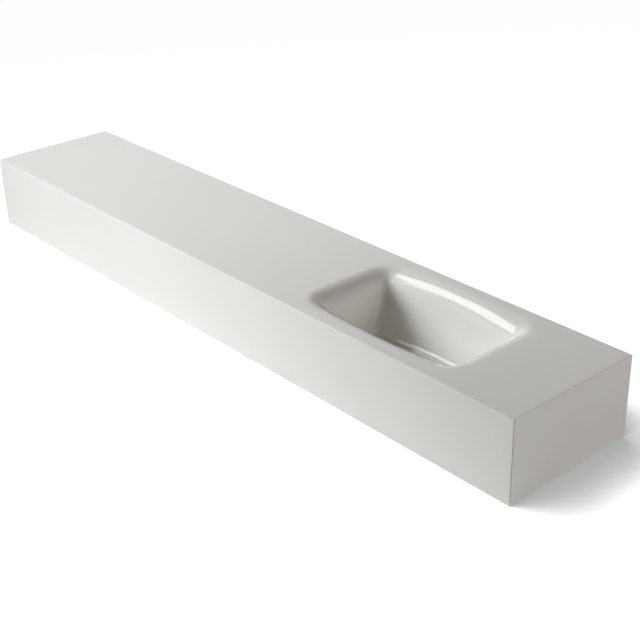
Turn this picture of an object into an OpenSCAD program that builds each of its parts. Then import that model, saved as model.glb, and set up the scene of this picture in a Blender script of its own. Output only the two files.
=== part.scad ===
// Wall-hung hand basin with a long shelf and an integral bowl near its right end.
// +X runs to the right, +Y to the wall and +Z up. The origin is the middle of the base.

/* [Body] */
// Length of the body along the wall
body_l = 1200; // [1000:10:1600]
// Depth of the body from the wall to the front
body_d = 220; // [190:1:300]
// Height of the body from its base to the deck
body_h = 120; // [110:1:160]
// Thickness of the solid-surface sheet
sheet_t = 12; // [9:0.5:12]
// Radius of the eased outer edges
arris_r = 0.8; // [0.4:0.1:2]
// Width of the open mitre at each front corner
corner_joint = 0.5; // [0.2:0.05:0.8]

/* [Bowl] */
// Length of the bowl's opening, to the outside of its rolled rim
bowl_l = 295; // [270:1:310]
// From the right end of the body to the opening
bowl_side_margin = 118; // [116:1:150]
// Gap between the bowl's flange and the front and rear aprons
flange_gap = 0.5; // [0.25:0.25:8]
// Radius of the rolled rim
rim_r = 30; // [24:0.5:32]
// Corner radius of the opening in plan
bowl_corner_r = 45; // [43:0.5:50]
// How far each end of the bowl leans in between its rim and its foot
wall_draft = 3; // [1:0.5:4]
// Lean of the front and back walls of the bowl from upright, in degrees
wall_lean = 17; // [12:0.5:18]
// Height of the bowl's floor above the base
floor_h = 34; // [32:0.5:44]
// Thickness of the bowl's shell
shell_t = 8; // [6:0.5:9]
// Thickness of the flange that is bonded under the deck
flange_t = 10; // [6:0.5:12]
// How far the flange runs out past the opening
flange_lip = 1.5; // [1:0.5:3.5]
// Fall of the floor to the waste
floor_fall = 1; // [0.5:0.25:2]

/* [Stiffening frame] */
// Thickness of the plywood battens and ribs
ply_t = 18; // [12:1:18]
// Height of the batten behind the front apron
front_batten_h = 50; // [40:1:60]
// Height of the batten in front of the rear apron
rear_batten_h = 72; // [72:1:76]
// Height of the cross ribs
rib_h = 50; // [30:1:60]
// Gap between the frame and the bowl's flange
bowl_gap = 3; // [1:0.5:6]
// Width of the blocks behind the corner joints
block_w = 22; // [16:1:26]
// Height of the blocks' feet above the base
block_lift = 8; // [4:1:12]
// Gap between the blocks and the rear batten above them
block_gap = 4; // [1:0.5:10]

/* [Wall fixings] */
// Distance of the outer wall bolts from the ends of the body
bolt_inset = 60; // [50:1:62]
// Drop of the bolt line below the deck
bolt_drop = 44; // [42:1:48]
// Diameter of the bolt holes
bolt_hole_d = 11; // [9:0.5:13]
// Width of the steel plates at the bolts
plate_w = 56; // [50:1:60]
// Height of the steel plates
plate_h = 50; // [44:1:54]
// Thickness of the steel plates
plate_t = 4; // [3:0.5:6]
// Distance of the plate screws from the plate's edges
screw_inset = 8; // [7:0.5:10]
// Diameter of the screws' shanks
screw_d = 4; // [3:0.5:4.5]
// Length of the screws below their heads
screw_l = 18; // [14:1:20]

/* [Waste] */
// Diameter of the waste's outside thread
tail_d = 41.91; // [40:0.1:43]
// Bore of the waste
waste_bore_d = 33; // [30:0.5:34]
// Gap round the tail in the hole through the bowl
waste_hole_gap = 1.5; // [0.5:0.25:3]
// Diameter of the waste's flange
waste_flange_d = 63; // [60:0.5:66]
// Thickness of the waste's flange
waste_flange_t = 1.7; // [1.2:0.1:2.5]
// Thickness of the gasket under the flange
flange_gasket_t = 1; // [0.8:0.1:1.5]
// Thickness of the bowl at the waste
boss_t = 6.5; // [5:0.5:8]
// Diameter of the boss under the bowl
boss_d = 84; // [72:1:96]
// Thickness of the rubber washer under the bowl
rubber_washer_t = 2.5; // [1.5:0.5:4]
// Thickness of the slip washer
slip_washer_t = 1; // [0.5:0.1:1.5]
// Height of the back nut
nut_h = 7; // [5:0.5:8.5]
// Width across the back nut's flats
nut_across_flats = 52; // [50:1:60]
// Height of the waste's open end above the base
tail_lift = 1.5; // [1:0.5:4]
// Width of the run-out groove above the trap's thread
groove_w = 1; // [0.5:0.1:1.5]
// Depth of the run-out groove
groove_depth = 0.6; // [0.3:0.1:0.8]
// Wall of the waste round the plug
mouth_wall = 1.65; // [1.2:0.05:2]

/* [Plug] */
// Gap round the plug
plug_gap = 0.5; // [0.3:0.1:1]
// Thickness of the plug at its rim
plug_t = 2; // [1.5:0.1:3]
// Height of the plug's dome
plug_dome = 1.2; // [0.5:0.1:2]
// Thickness of the plug's rubber seal
seal_t = 2; // [1.5:0.1:2.5]
// Lift of the plug from closed to open
plug_lift = 8; // [5:0.5:9]
// Diameter of the plug's stem
stem_d = 6; // [4:0.5:6.5]
// Outside diameter of the cartridge
cartridge_d = 11; // [10.5:0.5:13]
// Wall of the cartridge
cartridge_wall = 1.2; // [0.8:0.1:1.4]
// Diameter of the spring's wire
wire_d = 0.8; // [0.6:0.05:0.9]

/* [Hidden] */
$fn = 64;
// Cuts and trims run past the faces that they cut by this much
over = 1;
// Radial room of a screw or tail in the pieces that it passes through
free_fit = 0.3;
// Radial room of the stem in its guide
running_fit = 0.05;
// Gap under the plug's seal when the plug is down
seal_gap = 0.1;

half_l = body_l / 2;
half_d = body_d / 2;
deck_under_z = body_h - sheet_t;
inner_half_l = half_l - sheet_t;
inner_front_y = -half_d + sheet_t;
inner_back_y = half_d - sheet_t;
// Shift of each mitre face that leaves the open corner joint between them
mitre_shift = corner_joint / sqrt(2);

// The opening is as deep as the body lets its flange be
bowl_d = 2 * (inner_back_y - flange_gap - flange_lip);
bowl_x = half_l - bowl_side_margin - bowl_l / 2;
bowl_y = 0;
// Axes of the bowl's four rounded corners
axis_x = bowl_l / 2 - bowl_corner_r;
axis_y = bowl_d / 2 - bowl_corner_r;
rim_z = body_h - rim_r;
wall_r = bowl_corner_r - rim_r;
foot_r = wall_r - wall_draft;
foot_z = floor_h + foot_r;
// The front and back walls meet the rolled rim and their round foot at this slight angle
break_angle = 10;
// Height at which they pass behind the rim, and their distance from the bowl's middle there
lean_z = rim_z + rim_r * sin(wall_lean);
lean_y = bowl_d / 2 - rim_r * cos(wall_lean) + rim_r * (1 - cos(break_angle)) / cos(wall_lean);
// Their round foot meets the floor at a slight angle
foot_drop = 0.6;
flange_half_l = bowl_l / 2 + flange_lip;

// The shelf's bay runs from the left end to the bowl, and the end bay from the bowl to the right end
bay_right_x = bowl_x - flange_half_l - bowl_gap;
end_bay_x = bowl_x + flange_half_l + bowl_gap;
rib_front_y = inner_front_y + ply_t;
rib_back_y = inner_back_y - ply_t;
bolt_x = [bolt_inset - half_l, 0, half_l - bolt_inset];
bolt_z = body_h - bolt_drop;
// Middles of the three free ribs, two of them between the left and the centre bolt
rib_x = [bolt_x[0] * 2 / 3, bolt_x[0] / 3, (plate_w / 2 + bay_right_x - ply_t) / 2];
bowl_rib_x = [bay_right_x - ply_t / 2, end_bay_x + ply_t / 2];
screw_spots = [
    for (x = [-1, 1], z = [-1, 1])
        [x * (plate_w / 2 - screw_inset), z * (plate_h / 2 - screw_inset)]
];
screw_head_d = screw_d * 2;
screw_head_t = screw_d * 0.6;

// The waste, from the floor down
recess_r = waste_flange_d / 2 + 1;
dish_r = recess_r + 6;
recess_z = floor_h - floor_fall - waste_flange_t - flange_gasket_t + 0.2;
flange_z = recess_z + flange_gasket_t;
boss_z = recess_z - boss_t;
rubber_washer_z = boss_z - rubber_washer_t;
slip_washer_z = rubber_washer_z - slip_washer_t;
nut_z = slip_washer_z - nut_h;
waste_hole_d = tail_d + 2 * waste_hole_gap;
mouth_r = tail_d / 2 - mouth_wall;
shoulder_z = flange_z - 2;
spider_t = 4;
spider_z = shoulder_z - spider_t - 2;
spoke_t = 3;

// The plug and its cartridge
plug_d = 2 * (mouth_r - plug_gap);
seal_z = shoulder_z + seal_gap;
plug_z = seal_z + seal_t;
cartridge_z = tail_lift + 2;
cartridge_cap_t = 1.5;
cartridge_top_z = spider_z + spider_t;
cartridge_floor_z = cartridge_z + cartridge_wall;
chamber_r = cartridge_d / 2 - cartridge_wall;
stem_foot_t = 2;
stem_foot_z = cartridge_top_z - plug_lift - stem_foot_t - 0.5;
spring_r = chamber_r - wire_d / 2 - 0.2;
spring_turns = 4;

RIBS = [for (i = [1:len(rib_x)]) str("cross_rib_", i)];
BOWL_RIBS = ["bowl_rib_left", "bowl_rib_right"];
PLATES = ["wall_plate_left", "wall_plate_centre", "wall_plate_right"];

// A rectangle from the origin whose upper two corners are eased, or only the left one
module eased_rect(size, r, both = true) {
    difference() {
        square(size);
        for (side = both ? [0, 1] : [0])
            translate([side * size[0], size[1]])
                mirror([side, 0])
                    difference() {
                        translate([-over, -r]) square(r + over);
                        translate([r, -r]) circle(r);
                    }
    }
}

// Extrusions along the row axes, past both ends of the body
module along_x() {
    translate([-half_l - over, 0, 0])
        rotate([90, 0, 90])
            linear_extrude(body_l + 2 * over) children();
}

module along_y() {
    translate([0, half_d + over, 0])
        rotate([90, 0, 0])
            linear_extrude(body_d + 2 * over) children();
}

module along_z() {
    translate([0, 0, -over])
        linear_extrude(body_h + 2 * over) children();
}

// The whole body's outline, with its front, end and upright arrises eased
module body_form() {
    intersection() {
        translate([-half_l, 0, 0])
            rotate([90, 0, 90])
                linear_extrude(body_l)
                    translate([-half_d, 0]) eased_rect([body_d, body_h], arris_r, false);
        along_y() translate([-half_l, 0]) eased_rect([body_l, body_h], arris_r);
        along_z() mirror([0, 1]) translate([-half_l, -half_d]) eased_rect([body_l, body_d], arris_r);
    }
}

// Half of the rounded basin's section, swept round the four corner axes of the bowl
module bowl_sweep(low_z, high_z) {
    translate([bowl_x, bowl_y, 0]) {
        translate([-axis_x, -axis_y, low_z]) cube([2 * axis_x, 2 * axis_y, high_z - low_z]);
        for (side = [0, 1]) {
            mirror([side, 0, 0])
                translate([axis_x, axis_y, 0])
                    rotate([90, 0, 0]) linear_extrude(2 * axis_y) children();
            mirror([0, side, 0])
                translate([-axis_x, axis_y, 0])
                    rotate([90, 0, 90]) linear_extrude(2 * axis_x) children();
            for (end = [0, 1])
                mirror([side, 0, 0])
                    mirror([0, end, 0])
                        translate([axis_x, axis_y, 0]) rotate_extrude(angle = 90) children();
        }
    }
}

// The round foot between an end wall and the floor
module foot_section(r) {
    intersection() {
        translate([0, foot_z]) circle(r);
        translate([0, foot_z - r - over]) square([r + over, r + over]);
    }
}

module cavity_section() {
    difference() {
        translate([0, rim_z]) square([bowl_corner_r, rim_r + over]);
        translate([bowl_corner_r, rim_z]) circle(rim_r);
    }
    polygon([[0, foot_z], [foot_r, foot_z], [wall_r, rim_z], [0, rim_z]]);
    foot_section(foot_r);
}

module shell_section() {
    polygon([
        [0, foot_z],
        [foot_r + shell_t, foot_z],
        [wall_r + shell_t, rim_z],
        [wall_r + shell_t, deck_under_z],
        [0, deck_under_z]
    ]);
    translate([0, deck_under_z - flange_t]) square([bowl_corner_r + flange_lip, flange_t]);
    foot_section(foot_r + shell_t);
}

// What lies between the leaning front and back walls, moved out by t, and as wide as the body above step_z
module trough(t, step_z, high_z) {
    r = foot_r + t;
    centre_z = foot_z - foot_drop;
    low_z = centre_z - r - over;
    wall_y = lean_y + t / cos(wall_lean) - (lean_z - step_z) * tan(wall_lean);
    low_y = wall_y - (step_z - low_z) * tan(wall_lean);
    centre_y = low_y + (centre_z - low_z) * tan(wall_lean) - r * cos(break_angle) / cos(wall_lean);
    translate([bowl_x - bowl_l, bowl_y, 0])
        rotate([90, 0, 90])
            linear_extrude(2 * bowl_l)
                intersection() {
                    polygon([
                        [-low_y, low_z],
                        [low_y, low_z],
                        [wall_y, step_z],
                        [half_d, step_z],
                        [half_d, high_z],
                        [-half_d, high_z],
                        [-half_d, step_z],
                        [-wall_y, step_z]
                    ]);
                    union() {
                        translate([-half_d, centre_z - r * sin(wall_lean)]) square([2 * half_d, high_z]);
                        translate([-centre_y, centre_z - r]) square([2 * centre_y, r]);
                        for (side = [-1, 1])
                            translate([side * centre_y, centre_z]) circle(r);
                    }
                }
}

// The space that water fills, from the floor up through the deck
module bowl_cavity() {
    intersection() {
        bowl_sweep(floor_h, body_h + over) cavity_section();
        trough(0, lean_z, body_h + 2 * over);
    }
}

module deck() {
    color("white")
        difference() {
            intersection() {
                body_form();
                along_x() polygon([
                    [-half_d - over, body_h + over],
                    [half_d + over, body_h + over],
                    [half_d + over, deck_under_z],
                    [inner_front_y, deck_under_z]
                ]);
                along_y() polygon([
                    [-half_l - over, body_h + over],
                    [half_l + over, body_h + over],
                    [inner_half_l, deck_under_z],
                    [-inner_half_l, deck_under_z]
                ]);
            }
            bowl_cavity();
        }
}

module front_apron() {
    color("white")
        intersection() {
            body_form();
            along_x() polygon([
                [-half_d - over, -over],
                [-half_d - over, body_h + over],
                [inner_front_y, deck_under_z],
                [inner_front_y, -over]
            ]);
            along_z() polygon([
                [-half_l - over + mitre_shift, -half_d - over],
                [half_l + over - mitre_shift, -half_d - over],
                [inner_half_l - mitre_shift, inner_front_y],
                [-inner_half_l + mitre_shift, inner_front_y]
            ]);
        }
}

// An end of the body, mitred to the deck and the front apron. Side is -1 for the left and 1 for the right.
module end_panel(side) {
    color("white")
        intersection() {
            body_form();
            mirror([side < 0 ? 1 : 0, 0, 0]) {
                intersection() {
                    along_y() polygon([
                        [half_l + over, -over],
                        [half_l + over, body_h + over],
                        [inner_half_l, deck_under_z],
                        [inner_half_l, -over]
                    ]);
                    along_z() polygon([
                        [half_l + over, -half_d - over + mitre_shift],
                        [half_l + over, half_d + over],
                        [inner_half_l, half_d + over],
                        [inner_half_l, inner_front_y + mitre_shift]
                    ]);
                }
            }
        }
}

// One bolt hole through the rear of the body, from the wall side in
module bolt_hole(x) {
    translate([x, half_d + over, bolt_z])
        rotate([90, 0, 0]) cylinder(d = bolt_hole_d, h = sheet_t + ply_t + plate_t + 2 * over);
}

module rear_apron() {
    color("white")
        difference() {
            translate([-inner_half_l, inner_back_y, 0]) cube([2 * inner_half_l, sheet_t, deck_under_z]);
            for (x = bolt_x) bolt_hole(x);
        }
}

module bowl() {
    color("white")
        difference() {
            union() {
                intersection() {
                    bowl_sweep(floor_h - shell_t, deck_under_z) shell_section();
                    trough(shell_t, min(lean_z, deck_under_z - flange_t - over), deck_under_z + over);
                }
                translate([bowl_x, bowl_y, boss_z]) cylinder(d = boss_d, h = floor_h - boss_z);
            }
            bowl_cavity();
            translate([bowl_x, bowl_y, 0]) {
                cylinder(d = waste_hole_d, h = body_h);
                translate([0, 0, recess_z]) cylinder(r = recess_r, h = body_h);
                translate([0, 0, floor_h - floor_fall])
                    cylinder(r1 = recess_r, r2 = dish_r, h = floor_fall);
            }
        }
}

// A batten on edge under the deck, from one x to another, with its back or front on a panel
module batten(from_x, to_x, y, height) {
    color("burlywood")
        translate([from_x, y, deck_under_z - height]) cube([to_x - from_x, ply_t, height]);
}

module front_batten() {
    batten(-inner_half_l, bay_right_x, inner_front_y, front_batten_h);
}

module front_end_batten() {
    batten(end_bay_x, inner_half_l, inner_front_y, front_batten_h);
}

// Where the screws of the plate at x go into a batten
module screw_holes(x, y, d, depth) {
    for (spot = screw_spots)
        translate([x + spot[0], y, bolt_z + spot[1]]) rotate([-90, 0, 0]) cylinder(d = d, h = depth);
}

// A batten before the rear apron, with the holes for the bolts and plates at the given places
module bored_batten(from_x, to_x, bolts) {
    color("burlywood")
        difference() {
            batten(from_x, to_x, rib_back_y, rear_batten_h);
            for (x = bolts) {
                bolt_hole(x);
                screw_holes(
                    x, rib_back_y - over, screw_d + 2 * running_fit, screw_l - plate_t + over + running_fit
                );
            }
        }
}

module rear_batten() {
    bored_batten(-inner_half_l, bay_right_x, [bolt_x[0], bolt_x[1]]);
}

module rear_end_batten() {
    bored_batten(end_bay_x, inner_half_l, [bolt_x[2]]);
}

module cross_rib(x) {
    color("burlywood")
        translate([x - ply_t / 2, rib_front_y, deck_under_z - rib_h])
            cube([ply_t, rib_back_y - rib_front_y, rib_h]);
}

// Chamfered blocks that back the four upright corner joints
module corner_blocks() {
    color("burlywood")
        for (side = [0, 1], end = [0, 1])
            mirror([side, 0, 0])
                mirror([0, end, 0])
                    translate([inner_half_l, inner_back_y, block_lift])
                        mirror([1, 1, 0])
                            linear_extrude(deck_under_z - rear_batten_h - block_gap - block_lift)
                                polygon([
                                    [0, 0],
                                    [block_w, 0],
                                    [block_w, block_w / 3],
                                    [block_w / 3, block_w],
                                    [0, block_w]
                                ]);
}

module wall_plate(x) {
    color("silver")
        difference() {
            translate([x - plate_w / 2, rib_back_y - plate_t, bolt_z - plate_h / 2])
                cube([plate_w, plate_t, plate_h]);
            bolt_hole(x);
            screw_holes(x, rib_back_y - plate_t - over, screw_d + 2 * running_fit, plate_t + 2 * over);
        }
}

// Four pan-headed screws through each wall plate
module plate_screws() {
    color("gray")
        for (x = bolt_x, spot = screw_spots)
            translate([x + spot[0], rib_back_y - plate_t, bolt_z + spot[1]])
                rotate([-90, 0, 0]) {
                    cylinder(d = screw_d, h = screw_l);
                    translate([0, 0, -screw_head_t])
                        cylinder(d1 = screw_head_d * 0.7, d2 = screw_head_d, h = screw_head_t);
                }
}

// A turned ring on the waste's axis
module ring(z, height, outer_d, inner_d) {
    translate([bowl_x, bowl_y, z])
        difference() {
            cylinder(d = outer_d, h = height);
            translate([0, 0, -over]) cylinder(d = inner_d, h = height + 2 * over);
        }
}

module waste_body() {
    color("gainsboro")
        translate([bowl_x, bowl_y, 0]) {
            difference() {
                union() {
                    translate([0, 0, tail_lift]) cylinder(d = tail_d, h = flange_z - tail_lift);
                    translate([0, 0, flange_z])
                        cylinder(d1 = waste_flange_d, d2 = waste_flange_d - 2, h = waste_flange_t);
                }
                cylinder(d = waste_bore_d, h = body_h);
                translate([0, 0, shoulder_z]) cylinder(r = mouth_r, h = body_h);
                translate([0, 0, nut_z - groove_w])
                    difference() {
                        cylinder(d = tail_d + 2 * over, h = groove_w);
                        cylinder(r = tail_d / 2 - groove_depth, h = groove_w);
                    }
            }
            difference() {
                translate([0, 0, spider_z]) {
                    cylinder(d = cartridge_d + 5, h = spider_t);
                    for (turn = [0, 90])
                        rotate(turn)
                            translate([-waste_bore_d / 2 - 0.5, -spoke_t / 2, 0])
                                cube([waste_bore_d + 1, spoke_t, spider_t]);
                }
                cylinder(d = cartridge_d + 2 * running_fit, h = body_h);
            }
        }
}

module flange_gasket() {
    color("dimgray") ring(recess_z, flange_gasket_t, waste_flange_d - 1, tail_d + 2 * free_fit);
}

module rubber_washer() {
    color("dimgray") ring(rubber_washer_z, rubber_washer_t, waste_hole_d + 15, tail_d + 2 * free_fit);
}

module slip_washer() {
    color("whitesmoke") ring(slip_washer_z, slip_washer_t, waste_hole_d + 13, tail_d + 2 * free_fit);
}

module back_nut() {
    color("goldenrod")
        translate([bowl_x, bowl_y, nut_z])
            difference() {
                cylinder(d = nut_across_flats / cos(30), h = nut_h, $fn = 6);
                translate([0, 0, -over]) cylinder(d = tail_d + 2 * running_fit, h = nut_h + 2 * over);
            }
}

module cartridge_barrel() {
    color("whitesmoke")
        translate([bowl_x, bowl_y, 0])
            difference() {
                translate([0, 0, cartridge_z]) cylinder(d = cartridge_d, h = cartridge_top_z - cartridge_z);
                translate([0, 0, cartridge_floor_z]) cylinder(r = chamber_r, h = body_h);
            }
}

module cartridge_cap() {
    color("whitesmoke") ring(cartridge_top_z, cartridge_cap_t, cartridge_d + 3, stem_d + 2 * running_fit);
}

// The spring's wire as one helix of six-sided rings
spring_low_z = cartridge_floor_z + wire_d / 2;
spring_high_z = stem_foot_z - wire_d / 2;
ring_steps = 16;
ring_sides = 6;
spring_rings = spring_turns * ring_steps;

function spring_point(i, j) =
    let (
        turn = 360 * i / ring_steps,
        z = spring_low_z + (spring_high_z - spring_low_z) * i / spring_rings,
        side = 360 * j / ring_sides,
        r = spring_r + wire_d / 2 * cos(side)
    )
    [r * cos(turn), r * sin(turn), z + wire_d / 2 * sin(side)];

module cartridge_spring() {
    last = spring_rings * ring_sides;
    color("silver")
        translate([bowl_x, bowl_y, 0])
            polyhedron(
                points = [for (i = [0:spring_rings], j = [0:ring_sides - 1]) spring_point(i, j)],
                faces = concat(
                    [for (i = [0:spring_rings - 1], j = [0:ring_sides - 1], half = [0, 1])
                        let (
                            a = i * ring_sides + j,
                            b = i * ring_sides + (j + 1) % ring_sides
                        )
                        half == 0 ? [a, b, a + ring_sides] : [b, b + ring_sides, a + ring_sides]],
                    [for (j = [1:ring_sides - 2]) [0, j + 1, j]],
                    [for (j = [1:ring_sides - 2]) [last, last + j, last + j + 1]]
                )
            );
}

module plug_cap() {
    dome_r = (pow(plug_d / 2, 2) + pow(plug_dome, 2)) / (2 * plug_dome);
    color("gainsboro")
        translate([bowl_x, bowl_y, plug_z])
            rotate_extrude()
                intersection() {
                    square([plug_d / 2, plug_t + plug_dome]);
                    translate([0, plug_t + plug_dome - dome_r]) circle(dome_r, $fn = 720);
                }
}

module plug_seal() {
    color("dimgray") ring(seal_z, seal_t, plug_d - 0.8, stem_d + 10);
}

module plug_stem() {
    color("gainsboro")
        translate([bowl_x, bowl_y, stem_foot_z]) {
            cylinder(d = stem_d, h = plug_z - stem_foot_z);
            cylinder(r = chamber_r - 0.2, h = stem_foot_t);
            translate([0, 0, seal_z - stem_foot_z]) cylinder(d = stem_d + 9.6, h = seal_t);
        }
}

deck();
front_apron();
end_panel(-1);  // left_end_panel
end_panel(1);  // right_end_panel
rear_apron();
bowl();
front_batten();
rear_batten();
front_end_batten();
rear_end_batten();
for (i = [0:len(RIBS) - 1])
    cross_rib(rib_x[i]);
for (i = [0, 1])
    cross_rib(bowl_rib_x[i]);
corner_blocks();
for (i = [0:len(PLATES) - 1])
    wall_plate(bolt_x[i]);
plate_screws();
waste_body();
flange_gasket();
rubber_washer();
slip_washer();
back_nut();
cartridge_barrel();
cartridge_cap();
cartridge_spring();
plug_cap();
plug_seal();
plug_stem();
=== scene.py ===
"""A wall-hung hand basin in gloss white solid surface: a long shelf with a bowl near its right end.

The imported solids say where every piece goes. The front and end sheets keep their solids' forms, and so
does the plywood frame, with eased edges. Every other piece is made anew here with its real roundings.
A piece is made in millimetres and turned into metres when it is done.
"""
import math

import bmesh
import bpy
from mathutils import Matrix, Quaternion, Vector


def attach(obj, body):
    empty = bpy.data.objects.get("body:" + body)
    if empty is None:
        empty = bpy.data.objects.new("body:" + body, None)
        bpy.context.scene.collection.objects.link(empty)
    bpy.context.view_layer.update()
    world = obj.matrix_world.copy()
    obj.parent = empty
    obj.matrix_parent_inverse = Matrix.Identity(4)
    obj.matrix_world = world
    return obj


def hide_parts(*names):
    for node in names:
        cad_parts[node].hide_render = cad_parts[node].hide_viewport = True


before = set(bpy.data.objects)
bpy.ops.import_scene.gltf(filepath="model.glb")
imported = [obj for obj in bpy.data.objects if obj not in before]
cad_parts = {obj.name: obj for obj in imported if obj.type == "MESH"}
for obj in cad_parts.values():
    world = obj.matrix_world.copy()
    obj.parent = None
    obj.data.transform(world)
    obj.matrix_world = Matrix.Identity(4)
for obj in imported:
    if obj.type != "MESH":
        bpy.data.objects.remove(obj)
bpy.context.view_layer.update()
scene = bpy.context.scene
scene.view_settings.view_transform = "Standard"


# Shader nodes

def add_node(tree, kind, inputs=None, **settings):
    """A new shader node with its settings, and its inputs linked or given a value."""
    node = tree.nodes.new("ShaderNode" + kind)
    for key, value in settings.items():
        setattr(node, key, value)
    for socket, value in (inputs or {}).items():
        if isinstance(value, bpy.types.NodeSocket):
            tree.links.new(value, node.inputs[socket])
        else:
            node.inputs[socket].default_value = value
    return node


# Camera, floor and light

# Where the photograph was taken from, in metres, the lens, and the turn, lift and roll in degrees
CAMERA_PLACE = (1.37187, -1.05758, 0.87396)
CAMERA_LENS = 70.283
CAMERA_TURN, CAMERA_LIFT, CAMERA_ROLL = 49.411, 27.309, -1.386

# The soft shadow at the basin's foot: how far it reaches, where its light comes from, how open the
# floor is where it starts and ends, how fast it fades, its darkest and lightest tones, and the share
# of its tone that the lamps light
SHADOW_REACH = 0.11
SHADOW_FROM = (-0.60, -0.66, 0.45)
SHADOW_SPAN = (0.36, 0.81)
SHADOW_FADE = 2.4
SHADOW_TONES = (0.37, 0.98)
SHADOW_LIT = 0.25

# The studio floor's half width, and how far it lies below the basin
STUDIO_HALF, STUDIO_DROP = 6, 0.0004
# The world's faint light, and the height that the lamps point at
WORLD_TINT, WORLD_LIGHT = (1, 0.60, 0.25, 1), 0.05
LAMP_AIM_Z = 0.1


def set_camera():
    """The photograph's view: from the right front and above, with a slight roll."""
    view = bpy.data.cameras.new("photo_camera")
    view.sensor_fit = "HORIZONTAL"
    view.sensor_width = 36
    view.lens = CAMERA_LENS
    turn, lift, roll = (math.radians(a) for a in (CAMERA_TURN, CAMERA_LIFT, CAMERA_ROLL))
    ahead = Vector((-math.sin(turn) * math.cos(lift), math.cos(turn) * math.cos(lift), -math.sin(lift)))
    side = ahead.cross(Vector((0, 0, 1))).normalized()
    above = side.cross(ahead)
    right = math.cos(roll) * side + math.sin(roll) * above
    up = math.cos(roll) * above - math.sin(roll) * side
    camera = bpy.data.objects.new("photo_camera", view)
    camera.matrix_world = (
        Matrix.Translation(CAMERA_PLACE) @ Matrix((right, up, -ahead)).transposed().to_4x4()
    )
    scene.collection.objects.link(camera)
    scene.camera = camera


def seen_directly(tree):
    """Two switches: 1 for what the camera sees, and 1 for what gloss or glass shows."""
    rays = add_node(tree, "LightPath").outputs
    reflected = add_node(tree, "Math", {0: rays["Is Glossy Ray"], 1: rays["Is Transmission Ray"]},
                         operation="MAXIMUM")
    return rays["Is Camera Ray"], reflected.outputs[0]


def contact_shadow(tree):
    """The floor's tone, which is darker where the basin stands close over it."""
    towards = add_node(tree, "CombineXYZ", dict(zip("XYZ", SHADOW_FROM)))
    close = add_node(tree, "AmbientOcclusion", {"Distance": SHADOW_REACH, "Normal": towards.outputs[0]},
                     samples=24)
    shade = add_node(tree, "MapRange", {"Value": close.outputs["AO"], "From Min": SHADOW_SPAN[0],
                                        "From Max": SHADOW_SPAN[1]})
    fade = add_node(tree, "Math", {0: shade.outputs["Result"], 1: SHADOW_FADE}, operation="POWER")
    tone = add_node(tree, "MapRange", {"Value": fade.outputs[0], "To Min": SHADOW_TONES[0],
                                       "To Max": SHADOW_TONES[1]})
    return tone.outputs["Result"]


def floor_paint():
    """White with a soft shadow to the camera, white to gloss, and a matt white that lights the basin."""
    paint = bpy.data.materials.new("white_floor")
    paint.use_nodes = True
    tree = paint.node_tree
    tree.nodes.remove(tree.nodes["Principled BSDF"])
    tone = contact_shadow(tree)
    lit_tone = add_node(tree, "Math", {0: tone, 1: SHADOW_LIT}, operation="MULTIPLY")
    lit = add_node(tree, "BsdfDiffuse", {"Color": lit_tone.outputs[0]})
    glow = add_node(tree, "Emission", {"Strength": tone})
    photo_floor = add_node(tree, "AddShader", {0: lit.outputs[0], 1: glow.outputs[0]})
    matt = add_node(tree, "BsdfDiffuse", {"Color": (0.9, 0.9, 0.9, 1)})
    white = add_node(tree, "Emission", {"Strength": 1})
    camera_ray, reflected_ray = seen_directly(tree)
    first = add_node(tree, "MixShader", {0: camera_ray, 1: matt.outputs[0], 2: photo_floor.outputs[0]})
    second = add_node(tree, "MixShader", {0: reflected_ray, 1: first.outputs[0], 2: white.outputs[0]})
    tree.links.new(second.outputs[0], tree.nodes["Material Output"].inputs["Surface"])
    return paint


def set_floor():
    """A plain white floor that shows white round the basin and keeps its shadow."""
    bm = bmesh.new()
    bmesh.ops.create_grid(bm, x_segments=1, y_segments=1, size=STUDIO_HALF)
    bmesh.ops.translate(bm, vec=(0, 0, -STUDIO_DROP), verts=bm.verts)
    mesh = bpy.data.meshes.new("floor")
    bm.to_mesh(mesh)
    bm.free()
    floor = bpy.data.objects.new("floor", mesh)
    scene.collection.objects.link(floor)
    mesh.materials.append(floor_paint())


def set_world():
    """A white backdrop to the camera and to gloss, and a faint even light on the basin."""
    world = bpy.data.worlds.new("studio")
    scene.world = world
    world.use_nodes = True
    tree = world.node_tree
    faint = tree.nodes["Background"]
    faint.inputs["Color"].default_value = WORLD_TINT
    faint.inputs["Strength"].default_value = WORLD_LIGHT
    white = add_node(tree, "Background", {"Color": (1, 1, 1, 1), "Strength": 1})
    camera_ray, reflected_ray = seen_directly(tree)
    either = add_node(tree, "Math", {0: camera_ray, 1: reflected_ray}, operation="MAXIMUM")
    mix = add_node(tree, "MixShader", {0: either.outputs[0], 1: faint.outputs[0], 2: white.outputs[0]})
    tree.links.new(mix.outputs[0], tree.nodes["World Output"].inputs["Surface"])


def set_softbox(name, turn, lift, distance, width, height, watts, tint=(1, 1, 1), aim_x=0.15, spread=180,
                roll=0, lights=True, shines=True):
    """A soft lamp at a turn from the front towards the right, in degrees, and a lift above the floor.

    It points at a place along the body. One that doesn't light the basin shows in its gloss only, and one
    that doesn't shine lights it without showing there.
    """
    a, e = math.radians(turn), math.radians(lift)
    aim = Vector((aim_x, 0, LAMP_AIM_Z))
    place = aim + distance * Vector((math.sin(a) * math.cos(e), -math.cos(a) * math.cos(e), math.sin(e)))
    light = bpy.data.lights.new(name, "AREA")
    light.shape = "RECTANGLE"
    light.size, light.size_y = width, height
    light.energy = watts
    light.color = tint
    light.spread = math.radians(spread)
    lamp = bpy.data.objects.new(name, light)
    lamp.location = place
    lamp.visible_diffuse, lamp.visible_glossy = lights, shines
    facing = (aim - place).to_track_quat("-Z", "Y") @ Quaternion((0, 0, 1), math.radians(roll))
    lamp.rotation_euler = facing.to_euler()
    scene.collection.objects.link(lamp)


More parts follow.
